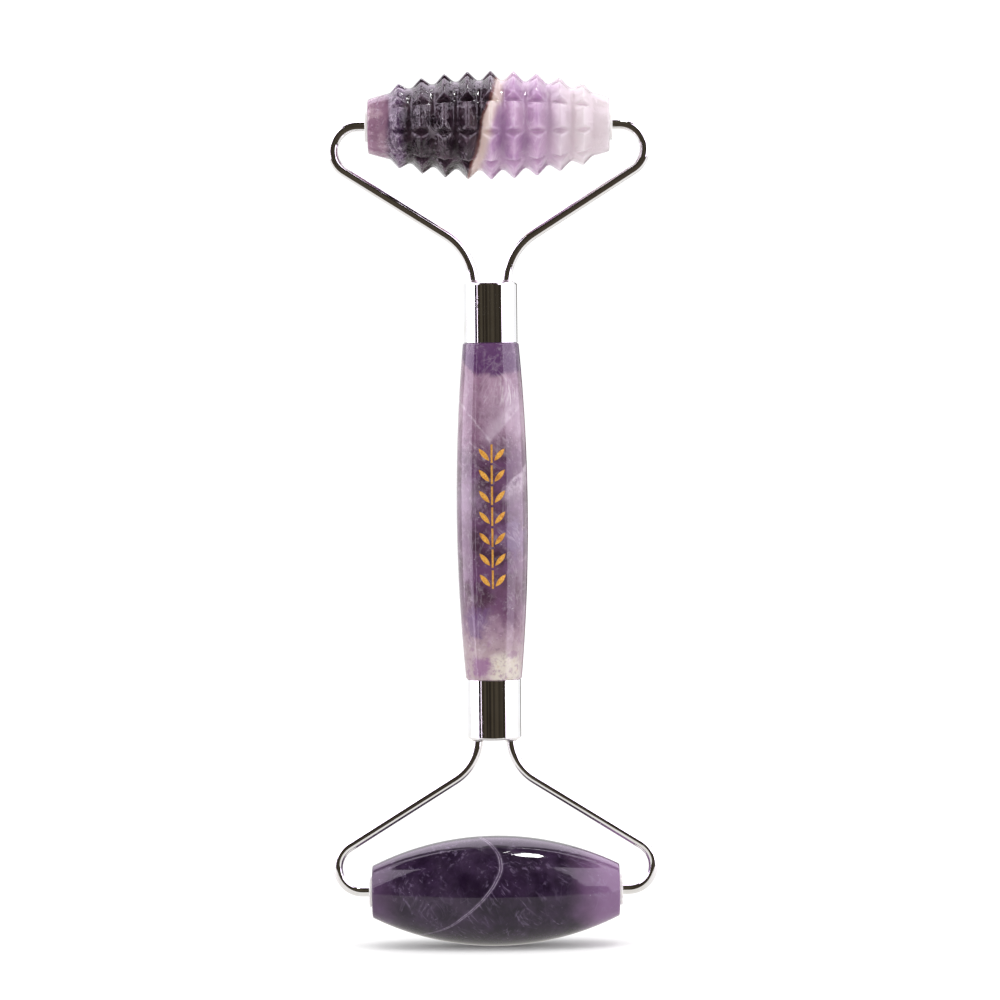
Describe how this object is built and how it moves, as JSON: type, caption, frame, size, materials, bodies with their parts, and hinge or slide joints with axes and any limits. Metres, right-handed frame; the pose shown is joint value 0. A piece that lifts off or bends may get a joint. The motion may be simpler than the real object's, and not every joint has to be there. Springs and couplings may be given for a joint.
{
  "type": "facial massage roller",
  "caption": "Double-ended stone face roller: a ridged textured roller and a smooth barrel roller turn in wire forks on a turned stone handle.",
  "frame": {"origin": "middle of the handle, on its axis", "axes": "+Z along the handle towards the textured roller, +X along both roller axles, -Y faces the engraved front"},
  "size_m": [0.0538, 0.0182, 0.1448],
  "materials": {
    "handle_stone": "polished",
    "textured_stone": "polished",
    "smooth_stone": "polished",
    "chrome": "mirror polished",
    "braze": "plated",
    "gold_fill": "satin paint",
    "adhesive": "clear epoxy",
    "bush_plastic": "satin"
  },
  "bodies": {
    "handle_frame": {"handle": "handle_stone", "ornament_inlay": "gold_fill", "top_ferrule": "chrome", "top_ferrule_adhesive": "adhesive", "top_left_arm": "chrome", "top_left_braze": "braze", "top_right_arm": "chrome", "top_right_braze": "braze", "bottom_ferrule": "chrome", "bottom_ferrule_adhesive": "adhesive", "bottom_left_arm": "chrome", "bottom_left_braze": "braze", "bottom_right_arm": "chrome", "bottom_right_braze": "braze"},
    "textured_roller": {"textured_roller": "textured_stone", "textured_left_bush": "bush_plastic", "textured_right_bush": "bush_plastic"},
    "smooth_roller": {"smooth_roller": "smooth_stone", "smooth_left_bush": "bush_plastic", "smooth_right_bush": "bush_plastic"}
  },
  "joints": [
    {"name": "textured_roller_spin", "type": "hinge", "parent": "handle_frame", "child": "textured_roller", "pos_m": [0, 0, 0.06366], "axis": [1, 0, 0], "continuous": true},
    {"name": "smooth_roller_spin", "type": "hinge", "parent": "handle_frame", "child": "smooth_roller", "pos_m": [0, 0, -0.063], "axis": [1, 0, 0], "continuous": true}
  ]
}
